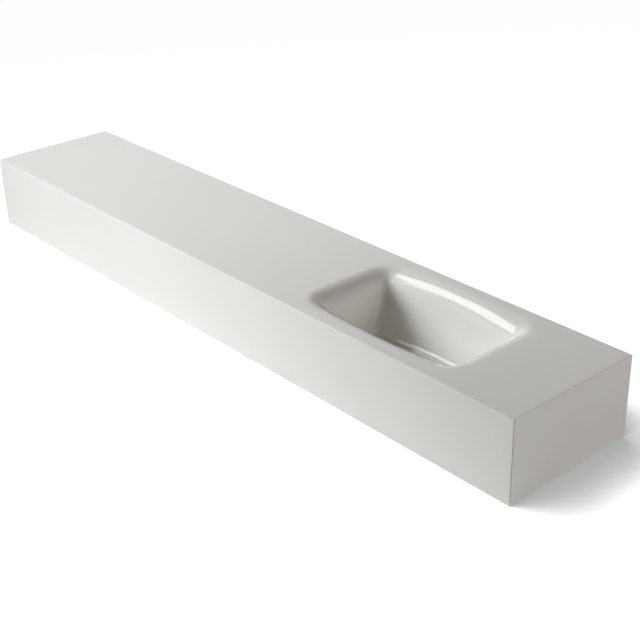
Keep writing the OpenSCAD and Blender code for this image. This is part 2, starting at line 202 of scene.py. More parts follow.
set_camera()
set_floor()
set_world()
set_softbox("key_softbox", turn=-54.6, lift=30, distance=1.82, width=1.67, height=0.85, watts=8.4,
            tint=(0.945, 0.98, 1.01), aim_x=-0.10, spread=55, shines=False)
set_softbox("key_face", turn=-70, lift=47, distance=2.4, width=0.38, height=1.35, watts=9.9,
            aim_x=0.33, roll=65.6, lights=False)
set_softbox("right_card", turn=108, lift=18, distance=2.4, width=1.3, height=0.7, watts=13.2,
            tint=(0.97, 0.99, 1.0), shines=False)


# Finishes

def start_effect(name, inputs, outputs):
    """A node group with named inputs, each with a value to start from, and named outputs."""
    tree = bpy.data.node_groups.new(name, "ShaderNodeTree")
    kinds = {"vector": "NodeSocketVector", "value": "NodeSocketFloat", "colour": "NodeSocketColor"}
    for label, kind, value in inputs:
        socket = tree.interface.new_socket(label, in_out="INPUT", socket_type=kinds[kind])
        if value is not None:
            socket.default_value = value
    for label, kind in outputs:
        tree.interface.new_socket(label, in_out="OUTPUT", socket_type=kinds[kind])
    return tree, tree.nodes.new("NodeGroupInput").outputs, tree.nodes.new("NodeGroupOutput").inputs


def make_cloudy_colour():
    """A colour that drifts a little lighter and darker over the surface."""
    tree, given, result = start_effect(
        "cloudy_colour",
        [("Vector", "vector", None), ("Colour", "colour", (0.8, 0.8, 0.8, 1)),
         ("Scale", "value", 8.0), ("Amount", "value", 0.02)],
        [("Colour", "colour")],
    )
    drift = add_node(tree, "TexNoise", {"Vector": given["Vector"], "Scale": given["Scale"], "Detail": 3.0})
    centred = add_node(tree, "Math", {0: drift.outputs["Fac"], 1: 0.5}, operation="SUBTRACT")
    scaled = add_node(tree, "Math", {0: centred.outputs[0], 1: given["Amount"]}, operation="MULTIPLY")
    tone = add_node(tree, "Math", {0: scaled.outputs[0], 1: 1.0}, operation="ADD")
    mixed = add_node(tree, "VectorMath", {0: given["Colour"], 1: tone.outputs[0]}, operation="MULTIPLY")
    tree.links.new(mixed.outputs[0], result["Colour"])
    return tree


def make_smudges():
    """A roughness between two values, as handling and wiping leave it."""
    tree, given, result = start_effect(
        "smudges",
        [("Vector", "vector", None), ("Scale", "value", 12.0),
         ("Low", "value", 0.1), ("High", "value", 0.2)],
        [("Roughness", "value")],
    )
    broad = add_node(tree, "TexNoise", {"Vector": given["Vector"], "Scale": given["Scale"], "Detail": 5.0,
                                        "Roughness": 0.62, "Distortion": 0.6})
    spread = add_node(tree, "MapRange", {"Value": broad.outputs["Fac"], "From Min": 0.34, "From Max": 0.66,
                                         "To Min": given["Low"], "To Max": given["High"]})
    tree.links.new(spread.outputs["Result"], result["Roughness"])
    return tree


def make_fine_relief():
    """Small even unevenness, such as orange peel, moulding texture or a coat of zinc."""
    tree, given, result = start_effect(
        "fine_relief",
        [("Vector", "vector", None), ("Scale", "value", 900.0), ("Detail", "value", 2.0)],
        [("Height", "value")],
    )
    grain = add_node(tree, "TexNoise", {"Vector": given["Vector"], "Scale": given["Scale"],
                                        "Detail": given["Detail"], "Roughness": 0.55})
    tree.links.new(grain.outputs["Fac"], result["Height"])
    return tree


def make_turning_lines():
    """Fine rings round an upright axis, as a lathe leaves them."""
    tree, given, result = start_effect(
        "turning_lines",
        [("Vector", "vector", None), ("Scale", "value", 5000.0)],
        [("Height", "value")],
    )
    parts = add_node(tree, "SeparateXYZ", {"Vector": given["Vector"]})
    flat = add_node(tree, "CombineXYZ", {"X": parts.outputs["X"], "Y": parts.outputs["Y"]})
    radius = add_node(tree, "VectorMath", {0: flat.outputs[0]}, operation="LENGTH")
    path = add_node(tree, "CombineXYZ", {"X": radius.outputs["Value"], "Y": parts.outputs["Z"]})
    lines = add_node(tree, "TexNoise", {"Vector": path.outputs[0], "Scale": given["Scale"], "Detail": 1.0})
    tree.links.new(lines.outputs["Fac"], result["Height"])
    return tree


def make_scratches():
    """Sparse short hairline scratches, 1 on a scratch and 0 elsewhere."""
    tree, given, result = start_effect(
        "scratches",
        [("Vector", "vector", None), ("Scale", "value", 60.0), ("Width", "value", 0.03)],
        [("Mask", "value")],
    )
    masks = []
    for turn in (0.4, 1.5, 2.6):
        turned = add_node(tree, "Mapping", {"Vector": given["Vector"], "Rotation": (turn, turn * 0.7, turn),
                                            "Scale": (1.0, 0.06, 1.0)})
        cells = add_node(tree, "TexVoronoi", {"Vector": turned.outputs[0], "Scale": given["Scale"]},
                         feature="DISTANCE_TO_EDGE")
        line = add_node(tree, "Math", {0: cells.outputs["Distance"], 1: given["Width"]},
                        operation="LESS_THAN")
        where = add_node(tree, "TexNoise", {"Vector": turned.outputs[0], "Scale": 9.0, "Detail": 1.0})
        sparse = add_node(tree, "Math", {0: where.outputs["Fac"], 1: 0.64}, operation="GREATER_THAN")
        both = add_node(tree, "Math", {0: line.outputs[0], 1: sparse.outputs[0]}, operation="MULTIPLY")
        masks.append(both.outputs[0])
    most = add_node(tree, "Math", {0: masks[0], 1: masks[1]}, operation="MAXIMUM")
    most = add_node(tree, "Math", {0: most.outputs[0], 1: masks[2]}, operation="MAXIMUM")
    tree.links.new(most.outputs[0], result["Mask"])
    return tree


def make_ply_wood():
    """Plywood. Vector has the run of the grain in X, the way across it in Y and the stack of plies in Z."""
    tree, given, result = start_effect(
        "ply_wood",
        [("Vector", "vector", None), ("Face", "value", 1.0)],
        [("Colour", "colour"), ("Height", "value"), ("Roughness", "value")],
    )
    parts = add_node(tree, "SeparateXYZ", {"Vector": given["Vector"]})
    wavy = add_node(tree, "TexNoise", {"Vector": given["Vector"], "Scale": 14.0, "Detail": 1.0})
    wave = add_node(tree, "Math", {0: wavy.outputs["Fac"], 1: 0.0006}, operation="MULTIPLY")
    stack = add_node(tree, "Math", {0: parts.outputs["Z"], 1: wave.outputs[0]}, operation="ADD")
    plies = add_node(tree, "Math", {0: stack.outputs[0], 1: 700.0}, operation="MULTIPLY")
    within = add_node(tree, "Math", {0: plies.outputs[0], 1: 1.0}, operation="FLOORED_MODULO")
    pair = add_node(tree, "Math", {0: plies.outputs[0], 1: 2.0}, operation="FLOORED_MODULO")
    end_grain = add_node(tree, "Math", {0: pair.outputs[0], 1: 1.0}, operation="GREATER_THAN")
    glue = add_node(tree, "Math", {0: within.outputs[0], 1: 0.1}, operation="LESS_THAN")
    long_fibres = add_node(tree, "Mapping", {"Vector": given["Vector"], "Scale": (10.0, 240.0, 240.0)})
    fibre = add_node(tree, "TexNoise", {"Vector": long_fibres.outputs[0], "Scale": 1.0, "Detail": 4.0,
                                        "Roughness": 0.6, "Distortion": 0.25})
    figure_map = add_node(tree, "Mapping", {"Vector": given["Vector"], "Scale": (3.0, 36.0, 36.0)})
    figure = add_node(tree, "TexNoise", {"Vector": figure_map.outputs[0], "Scale": 1.0, "Detail": 3.0,
                                         "Distortion": 1.2})
    pores = add_node(tree, "TexNoise", {"Vector": given["Vector"], "Scale": 1500.0, "Detail": 2.0})
    veneer = add_node(tree, "ValToRGB", {"Fac": figure.outputs["Fac"]})
    veneer.color_ramp.elements[0].position = 0.32
    veneer.color_ramp.elements[0].color = (0.50, 0.33, 0.175, 1)
    veneer.color_ramp.elements[1].position = 0.66
    veneer.color_ramp.elements[1].color = (0.68, 0.50, 0.30, 1)
    streaked = add_node(tree, "MapRange", {"Value": fibre.outputs["Fac"], "From Min": 0.3, "From Max": 0.7,
                                           "To Min": 0.82, "To Max": 1.08})
    face_wood = add_node(tree, "VectorMath", {0: veneer.outputs["Color"], 1: streaked.outputs["Result"]},
                         operation="MULTIPLY")
    dotted = add_node(tree, "MapRange", {"Value": pores.outputs["Fac"], "From Min": 0.35, "From Max": 0.65,
                                         "To Min": 0.70, "To Max": 1.12})
    end_wood = add_node(tree, "VectorMath", {0: (0.47, 0.31, 0.17), 1: dotted.outputs["Result"]},
                        operation="MULTIPLY")
    edge_wood = add_node(tree, "Mix", {"Factor": end_grain.outputs[0], "A": face_wood.outputs[0],
                                       "B": end_wood.outputs[0]}, data_type="VECTOR")
    glued = add_node(tree, "Mix", {"Factor": glue.outputs[0], "A": edge_wood.outputs["Result"],
                                   "B": (0.16, 0.085, 0.04)}, data_type="VECTOR")
    wood = add_node(tree, "Mix", {"Factor": given["Face"], "A": glued.outputs["Result"],
                                  "B": face_wood.outputs[0]}, data_type="VECTOR")
    sunk = add_node(tree, "Math", {0: fibre.outputs["Fac"], 1: glue.outputs[0]}, operation="SUBTRACT")
    relief = add_node(tree, "Mix", {"Factor": given["Face"], "A": sunk.outputs[0], "B": fibre.outputs["Fac"]},
                      data_type="FLOAT")
    dull = add_node(tree, "MapRange", {"Value": fibre.outputs["Fac"], "To Min": 0.55, "To Max": 0.82})
    tree.links.new(wood.outputs["Result"], result["Colour"])
    tree.links.new(relief.outputs["Result"], result["Height"])
    tree.links.new(dull.outputs["Result"], result["Roughness"])
    return tree


CLOUDY_COLOUR = make_cloudy_colour()
SMUDGES = make_smudges()
FINE_RELIEF = make_fine_relief()
TURNING_LINES = make_turning_lines()
SCRATCHES = make_scratches()
PLY_WOOD = make_ply_wood()


def start_finish(name, shader=None):
    """A new material, its node tree, its shader and the piece's own coordinates in metres."""
    material = bpy.data.materials.new(name)
    material.use_nodes = True
    tree = material.node_tree
    surface = tree.nodes["Principled BSDF"]
    for socket, value in (shader or {}).items():
        surface.inputs[socket].default_value = value
    place = add_node(tree, "TexCoord").outputs["Object"]
    return material, tree, surface, place


def add_effect(tree, effect, inputs):
    """Places an effect in a material and gives back its outputs."""
    return add_node(tree, "Group", inputs, node_tree=effect).outputs


def raise_surface(tree, surface, height, depth):
    """Bumps the surface by a height, with its depth in metres."""
    bump = add_node(tree, "Bump", {"Height": height, "Distance": depth, "Strength": 1.0})
    tree.links.new(bump.outputs["Normal"], surface.inputs["Normal"])


def solid_surface_finish():
    """Cast acrylic and mineral sheet, polished to a gloss: a warm white that drifts faintly."""
    material, tree, surface, place = start_finish("solid_surface", {"IOR": 1.5})
    colour = add_effect(tree, CLOUDY_COLOUR, {"Vector": place, "Colour": (0.81, 0.80, 0.764, 1),
                                              "Scale": 5.0, "Amount": 0.02})["Colour"]
    specks = add_node(tree, "TexVoronoi", {"Vector": place, "Scale": 700.0})
    filler = add_node(tree, "MapRange", {"Value": specks.outputs["Distance"], "From Min": 0.05,
                                         "From Max": 0.25, "To Min": 0.965, "To Max": 1.0})
    speckled = add_node(tree, "VectorMath", {0: colour, 1: filler.outputs["Result"]}, operation="MULTIPLY")
    tree.links.new(speckled.outputs[0], surface.inputs["Base Color"])
    gloss = add_effect(tree, SMUDGES, {"Vector": place, "Scale": 7.0, "Low": 0.035, "High": 0.06})
    tree.links.new(gloss["Roughness"], surface.inputs["Roughness"])
    peel = add_effect(tree, FINE_RELIEF, {"Vector": place, "Scale": 260.0, "Detail": 1.0})["Height"]
    raise_surface(tree, surface, peel, 0.0000025)
    return material


def metal_finish(name, colour, gloss, relief, turned=False, scratch=0.0, spangle=None):
    """A bare, plated or polished metal, with its lowest and highest roughness and its relief.

    Relief is a scale and a depth in metres. Turned pieces show lathe lines round the waste's axis.
    """
    material, tree, surface, place = start_finish(name, {"Metallic": 1.0})
    tone = add_effect(tree, CLOUDY_COLOUR, {"Vector": place, "Colour": (*colour, 1), "Scale": 60.0,
                                            "Amount": 0.16})["Colour"]
    rough = add_effect(tree, SMUDGES, {"Vector": place, "Scale": 70.0, "Low": gloss[0],
                                       "High": gloss[1]})["Roughness"]
    if spangle:
        flowers = add_node(tree, "TexVoronoi", {"Vector": place, "Scale": spangle})
        grey = add_node(tree, "SeparateColor", {"Color": flowers.outputs["Color"]})
        bright = add_node(tree, "MapRange", {"Value": grey.outputs["Red"], "To Min": 0.74, "To Max": 1.12})
        crystal = add_node(tree, "VectorMath", {0: tone, 1: bright.outputs["Result"]}, operation="MULTIPLY")
        tone = crystal.outputs[0]
        uneven = add_node(tree, "MapRange", {"Value": grey.outputs["Green"], "To Min": -0.06, "To Max": 0.09})
        mixed = add_node(tree, "Math", {0: rough, 1: uneven.outputs["Result"]}, operation="ADD")
        rough = mixed.outputs[0]
    if scratch:
        marks = add_effect(tree, SCRATCHES, {"Vector": place, "Scale": 120.0, "Width": 0.02})["Mask"]
        worn = add_node(tree, "Math", {0: marks, 1: scratch, 2: rough}, operation="MULTIPLY_ADD")
        rough = worn.outputs[0]
    tree.links.new(tone, surface.inputs["Base Color"])
    tree.links.new(rough, surface.inputs["Roughness"])
    if turned:
        centred = add_node(tree, "Mapping", {"Vector": place, "Location": (-BOWL_X / 1000, 0.0, 0.0)})
        lines = add_effect(tree, TURNING_LINES, {"Vector": centred.outputs[0], "Scale": relief[0]})
    else:
        lines = add_effect(tree, FINE_RELIEF, {"Vector": place, "Scale": relief[0], "Detail": 3.0})
    raise_surface(tree, surface, lines["Height"], relief[1])
    return material


def ply_finish(name, run, across, stack):
    """Birch plywood whose grain runs along one axis and whose plies are stacked along another."""
    material, tree, surface, place = start_finish(name)
    axes = add_node(tree, "SeparateXYZ", {"Vector": place}).outputs
    board = add_node(tree, "CombineXYZ", {"X": axes[run], "Y": axes[across], "Z": axes[stack]})
    normal = add_node(tree, "NewGeometry").outputs["Normal"]
    facing = add_node(tree, "SeparateXYZ", {"Vector": normal}).outputs
    size = add_node(tree, "Math", {0: facing[stack]}, operation="ABSOLUTE")
    face = add_node(tree, "Math", {0: size.outputs[0], 1: 0.8}, operation="GREATER_THAN")
    wood = add_effect(tree, PLY_WOOD, {"Vector": board.outputs[0], "Face": face.outputs[0]})
    tree.links.new(wood["Colour"], surface.inputs["Base Color"])
    tree.links.new(wood["Roughness"], surface.inputs["Roughness"])
    raise_surface(tree, surface, wood["Height"], 0.00012)
    return material


def soft_finish(name, colour, gloss, relief):
    """Rubber and moulded plastic: an even colour, handling marks and a fine moulded texture."""
    material, tree, surface, place = start_finish(name)
    tone = add_effect(tree, CLOUDY_COLOUR, {"Vector": place, "Colour": (*colour, 1), "Scale": 90.0,
                                            "Amount": 0.18})["Colour"]
    rough = add_effect(tree, SMUDGES, {"Vector": place, "Scale": 120.0, "Low": gloss[0], "High": gloss[1]})
    grain = add_effect(tree, FINE_RELIEF, {"Vector": place, "Scale": relief[0], "Detail": 2.0})
    tree.links.new(tone, surface.inputs["Base Color"])
    tree.links.new(rough["Roughness"], surface.inputs["Roughness"])
    raise_surface(tree, surface, grain["Height"], relief[1])
    return material


# The bowl's middle, along the body
BOWL_X = 334.5

SOLID_SURFACE = solid_surface_finish()
PLY_ALONG = ply_finish("plywood_along", "X", "Z", "Y")
PLY_ACROSS = ply_finish("plywood_across", "Y", "Z", "X")
GALVANISED = metal_finish("galvanised_steel", (0.60, 0.61, 0.62), gloss=(0.30, 0.44),
                          relief=(700.0, 0.00002), spangle=130.0)
ZINC = metal_finish("zinc_plated_steel", (0.64, 0.66, 0.68), gloss=(0.20, 0.34),
                    relief=(2400.0, 0.000008), scratch=0.12)
CHROME = metal_finish("chrome", (0.78, 0.79, 0.80), gloss=(0.035, 0.085),
                      relief=(9000.0, 0.0000003), turned=True, scratch=0.03)
STEM_STEEL = metal_finish("stem_steel", (0.66, 0.66, 0.67), gloss=(0.22, 0.32),
                          relief=(6000.0, 0.000003), turned=True)
SPRING_STEEL = metal_finish("spring_steel", (0.52, 0.52, 0.53), gloss=(0.28, 0.40),
                            relief=(3000.0, 0.000006))
BRASS = metal_finish("brass", (0.71, 0.53, 0.25), gloss=(0.22, 0.36),
                     relief=(4000.0, 0.000006), turned=True, scratch=0.1)
BLACK_RUBBER = soft_finish("black_rubber", (0.028, 0.028, 0.029), gloss=(0.55, 0.72),
                           relief=(1400.0, 0.00002))
WHITE_PLASTIC = soft_finish("white_plastic", (0.80, 0.80, 0.78), gloss=(0.32, 0.45),
                            relief=(1800.0, 0.000012))


# Ways of making a piece

# Closer than this, in millimetres, two vertices are one
MERGE = 0.0008


def unique(items):
    """The items in their order, each of them once."""
    return list(dict.fromkeys(items))


def everything(bm):
    """All of a mesh, as an operator takes it."""
    return list(bm.verts) + list(bm.edges) + list(bm.faces)


def new_verts(made):
    """The vertices among what an operator made."""
    return [v for v in made if isinstance(v, bmesh.types.BMVert)]


def open_edges_at(bm, height, reach):
    """The open edges that lie within a small distance of a height."""
    return [e for e in bm.edges if e.is_boundary and all(abs(v.co.z - height) < reach for v in e.verts)]


def on_circle(point, radius, z):
    """The place on a circle about the upright axis that lies in a point's direction."""
    flat = Vector((point.x, point.y, 0)).normalized() * radius
    return Vector((flat.x, flat.y, z))


def extruded(bm, edges, move):
    """Extrudes open edges, moves each new vertex and gives back the edges between them."""
    made = bmesh.ops.extrude_edge_only(bm, edges=edges)["geom"]
    verts = set(new_verts(made))
    for v in verts:
        v.co = move(v)
    return [e for e in made if isinstance(e, bmesh.types.BMEdge) and verts.issuperset(e.verts)]


def rotate(bm, verts, axis, degrees):
    """Turns vertices about an axis through the origin."""
    turn = Matrix.Rotation(math.radians(degrees), 3, axis)
    bmesh.ops.rotate(bm, cent=(0, 0, 0), matrix=turn, verts=verts)


def finish_piece(bm, name, finish, slot, *nodes, body="basin", smooth=32, even=False):
    """Closes a mesh made in millimetres, turns it into metres and puts it in place of its solids."""
    bmesh.ops.remove_doubles(bm, verts=bm.verts, dist=MERGE)
    bmesh.ops.dissolve_degenerate(bm, edges=bm.edges, dist=MERGE)
    bmesh.ops.recalc_face_normals(bm, faces=bm.faces)
    bmesh.ops.scale(bm, vec=(0.001, 0.001, 0.001), verts=bm.verts)
    mesh = bpy.data.meshes.new(name)
    bm.to_mesh(mesh)
    bm.free()
    mesh.shade_smooth()
    mesh.set_sharp_from_angle(angle=math.radians(smooth))
    mesh.materials.append(finish)
    piece = bpy.data.objects.new(name, mesh)
    scene.collection.objects.link(piece)
    if even:
        weighted = piece.modifiers.new("even_shading", "WEIGHTED_NORMAL")
        weighted.keep_sharp = True
    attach(piece, body)
    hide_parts(*nodes)
    return piece


def ring_stack(bm, count, rings):
    """A skin through rings of equal count, each given as a function from place to point."""
    place = bm.verts.layers.int.get("place") or bm.verts.layers.int.new("place")
    verts = bmesh.ops.create_circle(bm, segments=count, radius=1)["verts"]
    for i, v in enumerate(verts):
        v[place] = i
    for v in verts:
        v.co = rings[0](v[place])
    first = unique(e for v in verts for e in v.link_edges)
    last = first
    for where in rings[1:]:
        last = extruded(bm, last, lambda v: where(v[place]))
    return first, last


def ease_rims(bm, faces, ease, steps, sharper, longer=0.0):
    """Rounds the edges of these faces that turn by more than an angle and are longer than a length."""
    rims = unique(e for f in faces for e in f.edges if len(e.link_faces) == 2
                  and e.calc_face_angle(0) > math.radians(sharper) and e.calc_length() > longer)
    bmesh.ops.bevel(bm, geom=rims, offset=ease, offset_type="OFFSET", segments=steps, profile=0.5,
                    affect="EDGES", clamp_overlap=True, material=-1)


def turned(bm, corners, steps, ease=0.0, ease_steps=2, sharper=28, closed=True):
    """Spins an outline of (radius, height) corners about the upright axis and eases its rims."""
    before = set(bm.faces)
    verts = [bm.verts.new((r, 0, z)) for r, z in corners]
    pairs = list(zip(verts, verts[1:])) + ([(verts[-1], verts[0])] if closed else [])
    edges = [bm.edges.new(pair) for pair in pairs]
    bmesh.ops.spin(bm, geom=verts + edges, cent=(0, 0, 0), axis=(0, 0, 1), angle=2 * math.pi, steps=steps,
                   use_merge=True)
    bmesh.ops.remove_doubles(bm, verts=bm.verts, dist=0.0005)
    faces = [f for f in bm.faces if f not in before]
    bmesh.ops.recalc_face_normals(bm, faces=faces)
    if ease:
        ease_rims(bm, faces, ease, ease_steps, sharper)


def finish_on_axis(bm, name, finish, slot, node, **how):
    """Moves what was turned about the origin onto the waste's axis, and finishes it."""
    bmesh.ops.translate(bm, vec=(BOWL_X, 0, 0), verts=bm.verts)
    finish_piece(bm, name, finish, slot, node, **how)


def turned_piece(name, finish, slot, node, corners, body="basin", smooth=32, **turning):
    """A piece on the waste's axis that is turned and nothing else."""
    bm = bmesh.new()
    turned(bm, corners, **turning)
    finish_on_axis(bm, name, finish, slot, node, body=body, smooth=smooth)


def from_solid(node, finish, slot, ease=0.0):
    """The piece of a node whose solid has the right form: its merged mesh with its long edges eased."""
    bm = bmesh.new()
    bm.from_mesh(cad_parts[node].data)
    bmesh.ops.scale(bm, vec=(1000, 1000, 1000), verts=bm.verts)
    bmesh.ops.remove_doubles(bm, verts=bm.verts, dist=0.002)
    bmesh.ops.dissolve_limit(bm, angle_limit=math.radians(0.6), verts=bm.verts, edges=bm.edges)
    if ease:
        ease_rims(bm, bm.faces, ease, 2, sharper=40, longer=8.0)
    finish_piece(bm, node + "_piece", finish, slot, node, even=True)


# Deck and bowl: one skin of rings, cut at the deck's underside

# The body's half length and depth, its sheet, its slightly eased edges, and the bowl's half opening
BODY_HALF_L, BODY_HALF_D, SHEET, ARRIS = 600, 110, 12, 0.8
BOWL_HALF_L, BOWL_HALF_D = 147.5, 96.0
# Heights of the deck's two faces, the bowl's floor and the underside of the bowl's flange
TOP, SEAM, FLOOR, FLANGE = 120.0, 108.0, 34.0, 98.0
RIM_R, FOOT_R, SHELL = 30.0, 9.0, 8.0
# How far the rolled rim has turned down where the deck ends and the bowl starts, in degrees
SEAM_TURN = math.degrees(math.acos(1 - (TOP - SEAM) / RIM_R))
END_LEAN, LONG_LEAN = math.radians(3), math.radians(20)
# The opening's corner radius, the radius where the walls meet, and how far the long walls bow
CORNER_R, CREASE_R, BOW = 45.0, 8.0, 10.0
CORNERS = ((1, 1), (-1, 1), (-1, -1), (1, -1))


def ring_spots(corner_steps, long_steps, short_steps):
    """The places round a rounded rectangle: each corner's arc, then the side that follows it."""
    spots = []
    for corner in range(4):
        for k in range(corner_steps + 1):
            spots.append((corner, math.radians(90 * (corner + k / corner_steps)), 0.0))
        steps = long_steps if corner % 2 == 0 else short_steps
        for k in range(1, steps):
            spots.append((corner, math.radians(90 * (corner + 1)), k / steps))
    return spots


def rounded(spot, a, b, r):
    """The point at a spot of a rounded rectangle with half-sides a and b."""
    corner, angle, along = spot
    dx, dy = r * math.cos(angle), r * math.sin(angle)
    x, y = (s * (half - r) + d for s, half, d in zip(CORNERS[corner], (a, b), (dx, dy)))
    x2, y2 = (s * (half - r) + d for s, half, d in zip(CORNERS[(corner + 1) % 4], (a, b), (dx, dy)))
    return x + (x2 - x) * along, y + (y2 - y) * along


def inset(z, lean, shell=0.0):
    """How far in from the opening a wall is at a height: rolled rim, leaning wall, round foot."""
    high = TOP - RIM_R + RIM_R * math.sin(lean)
    if z >= high and not shell:
        return math.sqrt(max(0.0, RIM_R ** 2 - (z - TOP + RIM_R) ** 2))
    low = FLOOR + FOOT_R - (FOOT_R + shell) * math.sin(lean)
    wall = RIM_R * math.cos(lean) - shell / math.cos(lean)
    if z >= low:
        return wall + (high - z) * math.tan(lean)
    middle = wall + (high - low) * math.tan(lean) + (FOOT_R + shell) * math.cos(lean)
    return middle - math.sqrt(max(0.0, (FOOT_R + shell) ** 2 - (FLOOR + FOOT_R - z) ** 2))


SPOTS = ring_spots(24, 40, 20)


def bowl_ring(z, shell=0.0):
    """The bowl's ring at a height. Its corners tighten and its long sides bow as it leaves the deck."""
    in_x, in_y = inset(z, END_LEAN, shell), inset(z, LONG_LEAN, shell)
    t = 1.0 if shell else min(1.0, (in_x + in_y) / 2 / RIM_R)
    t = t * t * (3 - 2 * t)
    a, b = BOWL_HALF_L - in_x, BOWL_HALF_D - in_y
    r = CORNER_R + (CREASE_R - CORNER_R) * t + shell

    def where(i):
        x, y = rounded(SPOTS[i], a, b, r)
        return Vector((BOWL_X + x, y * (1 - BOW * t * (x / a) ** 2 / b), z))
    return where


def plate_ring(grow, z):
    """The outline of the opening, grown by a distance, at a height."""
    def where(i):
        x, y = rounded(SPOTS[i], BOWL_HALF_L + grow, BOWL_HALF_D + grow, CORNER_R + grow)
        return Vector((BOWL_X + x, y, z))
    return where


def round_ring(radius, z):
    """A circle about the waste's axis whose places lie in the directions of a rounded square's."""
    def where(i):
        x, y = rounded(SPOTS[i], 1.0, 1.0, 0.2)
        angle = math.atan2(y, x)
        return Vector((BOWL_X + radius * math.cos(angle), radius * math.sin(angle), z))
    return where


def between(first, second, share, height=None):
    """A ring part of the way from one ring to another."""
    def where(i):
        point = first(i).lerp(second(i), share)
        if height is not None:
            point.z = height
        return point
    return where


def rim_heights(steep, flat, steps):
    """Heights down the rolled rim between two of its angles, in even turns."""
    return [TOP - RIM_R * (1 - math.cos(math.radians(flat + (steep - flat) * k / steps)))
            for k in range(steps + 1)]


def deck_border(e, z, rear):
    """The deck's outline, in by e from the body's front and ends and by rear from the wall side.

    It has the two corners at the wall, and four places round each eased corner at the front.
    """
    r = max(ARRIS - e, 0.0)

    def where(i):
        if i < 2:
            return Vector(((BODY_HALF_L - e) * (1, -1)[i], BODY_HALF_D - rear, z))
        side = -1 if i < 6 else 1
        k = i - 2 if i < 6 else 9 - i
        angle = math.radians(30 * k)
        return Vector((side * (BODY_HALF_L - e - r + r * math.cos(angle)),
                       -(BODY_HALF_D - e - r + r * math.sin(angle)), z))
    return where


def match_seam(mesh, ring_normal):
    """Gives the two halves of the rim the same shading where they meet at the deck's underside."""
    seam = mesh.attributes["seam"].data
    normals = [Vector((0, 0, 0))] * len(mesh.loops)
    for face in mesh.polygons:
        for loop in face.loop_indices:
            i = seam[mesh.loops[loop].vertex_index].value
            if i and face.normal.dot(ring_normal[i - 1]) > 0.9:
                normals[loop] = ring_normal[i - 1]
    mesh.normals_split_custom_set(normals)


def seam_normals():
    """The rolled rim's own normals round the deck's underside."""
    count = len(SPOTS)
    here, above, below = bowl_ring(SEAM), bowl_ring(SEAM + 0.4), bowl_ring(SEAM - 0.4)
    normals = []
    for i in range(count):
        along = here((i + 1) % count) - here(i - 1)
        down = below(i) - above(i)
        normals.append(along.cross(down).normalized())
    return normals


def mark_seam(bm, edges):
    """Writes each vertex's place in the ring on the seam's vertices, counted from 1."""
    seam = bm.verts.layers.int.get("seam") or bm.verts.layers.int.new("seam")
    place = bm.verts.layers.int["place"]
    for e in edges:
        for v in e.verts:
            v[seam] = v[place] + 1


def make_deck():
    """The top sheet: rolled rim, deck, eased edges and mitres, with the upper part of the bowl."""
    bm = bmesh.new()
    bm.verts.layers.int.new("place")
    bm.verts.layers.int.new("seam")
    rings = [bowl_ring(z) for z in reversed(rim_heights(SEAM_TURN, 0, 16))]
    # Two flat rings round the rim keep the deck's shading even
    rings += [plate_ring(1.2, TOP), plate_ring(3, TOP)]
    under = ring_stack(bm, len(SPOTS), rings)[0]
    mark_seam(bm, under)
    arris = [(ARRIS * (1 - math.sin(math.radians(a))), TOP - ARRIS * (1 - math.cos(math.radians(a))))
             for a in (0, 15, 30, 45)]
    border = [deck_border(3, TOP, 3)] + [deck_border(e, z, 0) for e, z in arris]
    border.append(deck_border(SHEET, SEAM, 0))
    ring_stack(bm, 10, border)
    bmesh.ops.remove_doubles(bm, verts=bm.verts, dist=MERGE)
    for height, facing in ((TOP, 1), (SEAM, -1)):
        rims = open_edges_at(bm, height, 0.001)
        bmesh.ops.triangle_fill(bm, use_beauty=True, edges=rims, normal=(0, 0, facing))
    deck = finish_piece(bm, "deck_top", SOLID_SURFACE, "solid_surface", "deck")
    match_seam(deck.data, seam_normals())


def make_bowl():
    """The moulded bowl: inside wall, foot and floor, the waste's seat, the outside and the flange."""
    bm = bmesh.new()
    bm.verts.layers.int.new("place")
    bm.verts.layers.int.new("seam")
    heights = rim_heights(90, SEAM_TURN, 14)
    foot_top, wall_top = FLOOR + FOOT_R, TOP - RIM_R
    heights += [wall_top + (foot_top - wall_top) * k / 10 for k in range(1, 10)]
    heights += [FLOOR + FOOT_R * (1 - math.sin(math.radians(90 * k / 14))) for k in range(15)]
    rings = [bowl_ring(z) for z in heights]
    foot, dish = rings[-1], round_ring(36.4, FLOOR)
    rings += [between(foot, dish, k / 7) for k in range(1, 8)]
    seat = [(36.0, 33.98), (35.6, 33.9), (33.2, 33.14), (32.8, 32.98), (32.5, 32.6), (32.5, 30.9),
            (32.1, 30.5), (22.9, 30.5), (22.455, 30.1), (22.455, 24.5), (22.95, 24.0), (36.0, 24.0),
            (36.7, 24.3), (37.0, 25.0), (37.0, 25.6), (37.4, 26.0)]
    rings += [round_ring(r, z) for r, z in seat]
    boss_foot, shell_foot = rings[-1], bowl_ring(FLOOR - SHELL, SHELL)
    rings += [between(boss_foot, shell_foot, k / 5) for k in range(1, 6)]
    outside = [foot_top - (FOOT_R + SHELL) * math.cos(math.radians(90 * k / 10)) for k in range(1, 11)]
    outside += [foot_top + (FLANGE - 0.4 - foot_top) * k / 6 for k in range(1, 7)]
    rings += [bowl_ring(z, SHELL) for z in outside]
    rings += [between(bowl_ring(FLANGE, SHELL), plate_ring(1.5, FLANGE), 0.02, FLANGE),
              plate_ring(1.1, FLANGE), plate_ring(1.5, FLANGE + 0.4), plate_ring(1.5, SEAM - 0.2),
              plate_ring(1.3, SEAM), bowl_ring(SEAM)]
    first, last = ring_stack(bm, len(SPOTS), rings)
    mark_seam(bm, first)
    mark_seam(bm, last)
    bowl = finish_piece(bm, "bowl_basin", SOLID_SURFACE, "solid_surface", "bowl", smooth=38)
    match_seam(bowl.data, seam_normals())


